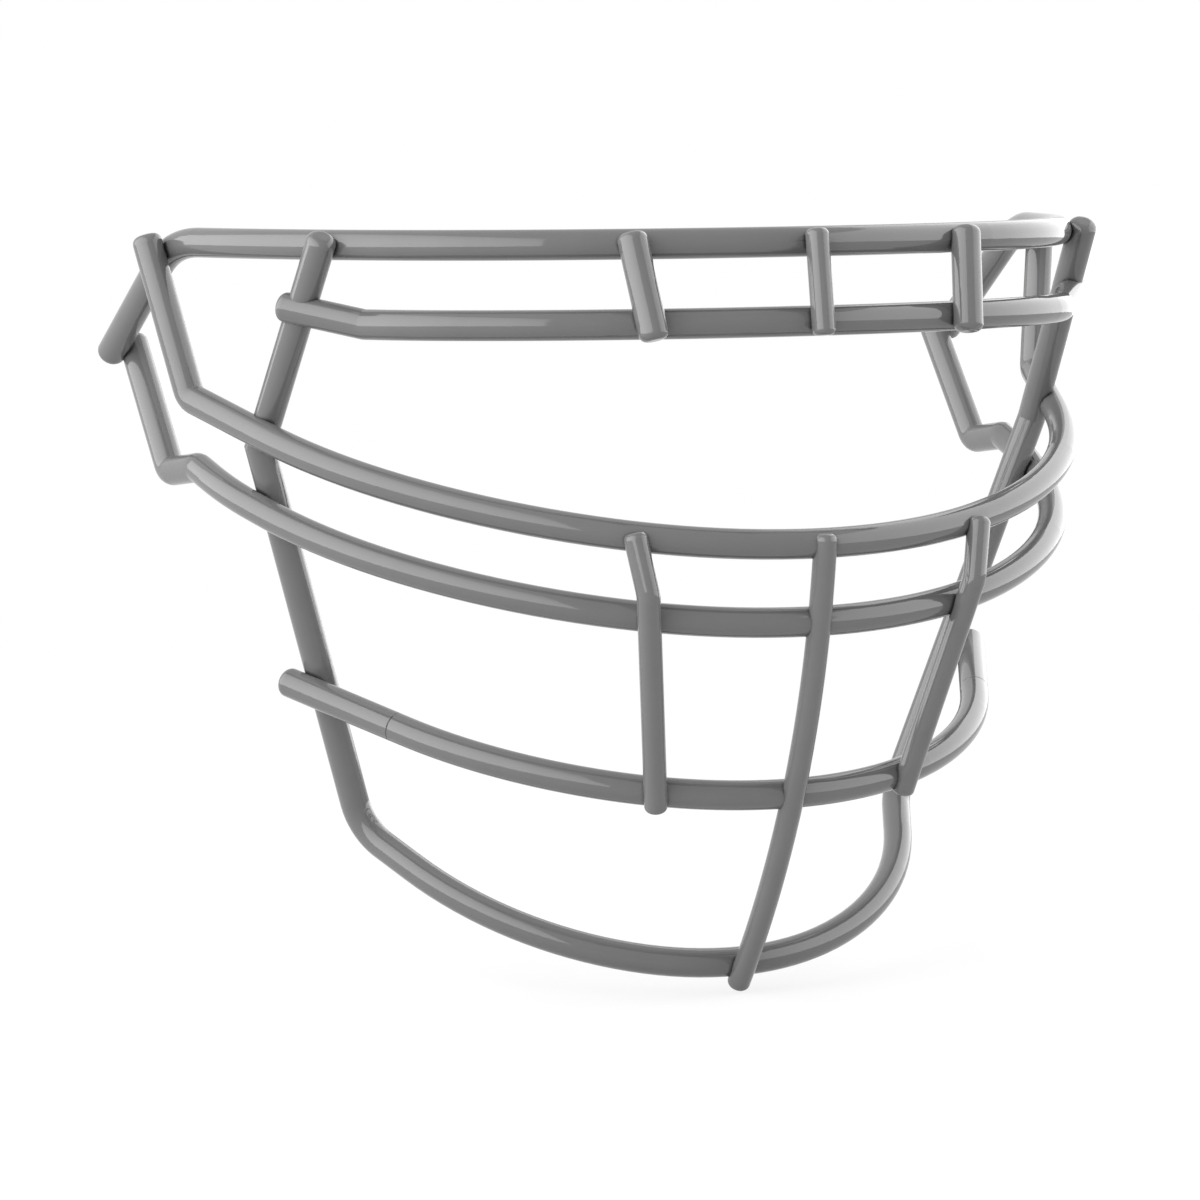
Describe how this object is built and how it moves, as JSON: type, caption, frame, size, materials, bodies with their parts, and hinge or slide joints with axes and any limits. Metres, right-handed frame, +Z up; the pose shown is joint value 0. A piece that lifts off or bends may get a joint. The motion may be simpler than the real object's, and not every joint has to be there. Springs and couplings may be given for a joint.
{
  "type": "football helmet facemask",
  "caption": "Welded wire facemask for a football helmet: a brow loop, face bars, a jaw bar, a chin loop and the wires that tie them, under a grey coat.",
  "frame": {"origin": "the middle of the top brow bar's axis, in the stretch that the helmet's brow clips hold", "axes": "+X to the wearer's left, +Y to the back towards the helmet, +Z up; the front of the cage looks along -Y"},
  "size_m": [0.2288, 0.1387, 0.1662],
  "materials": {
    "wire_coat": "smooth satin-gloss grey polymer coat over steel wire",
    "light_wire_coat": "the same grey coat over a lighter steel wire",
    "weld_coat": "the same grey coat run into the corner between two welded wires"
  },
  "bodies": {
    "root": {"brow_tie_left": "wire_coat", "brow_tie_right": "wire_coat", "centre_bar": "light_wire_coat", "chin_loop": "wire_coat", "jaw_bar": "wire_coat", "jaw_bar_end_left": "wire_coat", "jaw_bar_end_right": "wire_coat", "lower_brow_bar": "wire_coat", "lower_face_bar": "wire_coat", "middle_brow_tie": "light_wire_coat", "side_bar_left": "light_wire_coat", "side_bar_right": "light_wire_coat", "top_brow_bar": "wire_coat", "upper_face_bar": "wire_coat", "upright_left": "wire_coat", "upright_right": "wire_coat", "welds_on_chin_loop": "weld_coat", "welds_on_jaw_bar": "weld_coat", "welds_on_lower_brow_bar": "weld_coat", "welds_on_lower_face_bar": "weld_coat", "welds_on_top_brow_bar": "weld_coat", "welds_on_upper_face_bar": "weld_coat"}
  },
  "joints": []
}
